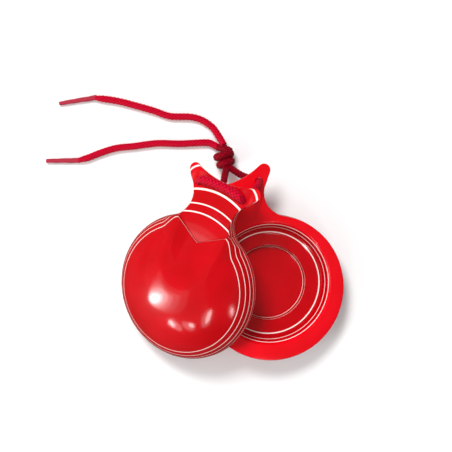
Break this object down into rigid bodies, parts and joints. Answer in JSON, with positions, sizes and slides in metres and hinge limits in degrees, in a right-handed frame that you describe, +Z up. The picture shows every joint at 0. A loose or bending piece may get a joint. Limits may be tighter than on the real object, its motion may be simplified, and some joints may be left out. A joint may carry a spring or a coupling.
{
  "type": "castanets",
  "caption": "Hand castanets: two round hollowed laminated shells with eared necks, hinged together by a knotted cord.",
  "frame": {"origin": "on the surface the castanets lie on, under the middle of the two shells' outer box", "axes": "+Z up from the surface, +Y towards the ears and the knot, +X towards the open rear shell"},
  "size_m": [0.1553, 0.1383, 0.043],
  "materials": {
    "red_lacquer": "high gloss lacquer over pressed laminate",
    "white_sheet": "thin pale laminate sheet under gloss lacquer",
    "crimson_cord": "round braided cord, matte with a slight sheen",
    "cord_tip": "pressed and bound cord end, dull"
  },
  "bodies": {
    "rear_shell": {"rear_red_layer_1": "red_lacquer", "rear_white_sheet_1": "white_sheet", "rear_red_layer_2": "red_lacquer", "rear_white_sheet_2": "white_sheet", "rear_red_layer_3": "red_lacquer", "rear_white_sheet_3": "white_sheet", "rear_red_layer_4": "red_lacquer", "rear_white_sheet_4": "white_sheet", "rear_red_layer_5": "red_lacquer", "rear_white_sheet_5": "white_sheet", "rear_dome_block": "red_lacquer", "rear_strand_left": "crimson_cord", "rear_strand_right": "crimson_cord", "knot": "crimson_cord", "tail_upper": "crimson_cord", "tail_lower": "crimson_cord", "aglet_upper": "cord_tip", "aglet_lower": "cord_tip"},
    "cord_right": {"crossing_strand_right": "crimson_cord"},
    "cord_left": {"crossing_strand_left": "crimson_cord"},
    "front_shell": {"front_red_layer_1": "red_lacquer", "front_white_sheet_1": "white_sheet", "front_red_layer_2": "red_lacquer", "front_white_sheet_2": "white_sheet", "front_red_layer_3": "red_lacquer", "front_white_sheet_3": "white_sheet", "front_red_layer_4": "red_lacquer", "front_white_sheet_4": "white_sheet", "front_red_layer_5": "red_lacquer", "front_white_sheet_5": "white_sheet", "front_dome_block": "red_lacquer", "bridge_strand": "crimson_cord"}
  },
  "joints": [
    {"name": "cord_tilt", "type": "hinge", "parent": "rear_shell", "child": "cord_right", "pos_m": [-0.01763, 0.03391, 0.02784], "axis": [-0.1411, 0.9879, 0.0649], "range_deg": [0, 32.6], "deforming": ["crossing_strand_right"]},
    {"name": "cord_turn", "type": "hinge", "parent": "cord_right", "child": "cord_left", "pos_m": [-0.0017, 0.04358, 0.03632], "axis": [-0.41, -0.118, 0.9044], "range_deg": [0, 42.2], "deforming": ["crossing_strand_left"]},
    {"name": "clap_hinge", "type": "hinge", "parent": "cord_left", "child": "front_shell", "pos_m": [-0.0023, 0.04394, 0.0361], "axis": [-0.8528, 0.4012, -0.3343], "range_deg": [0, 50]}
  ],
  "couplings": [
    {"joint": "cord_turn", "follows": "cord_tilt", "ratio": 1.2946}
  ]
}
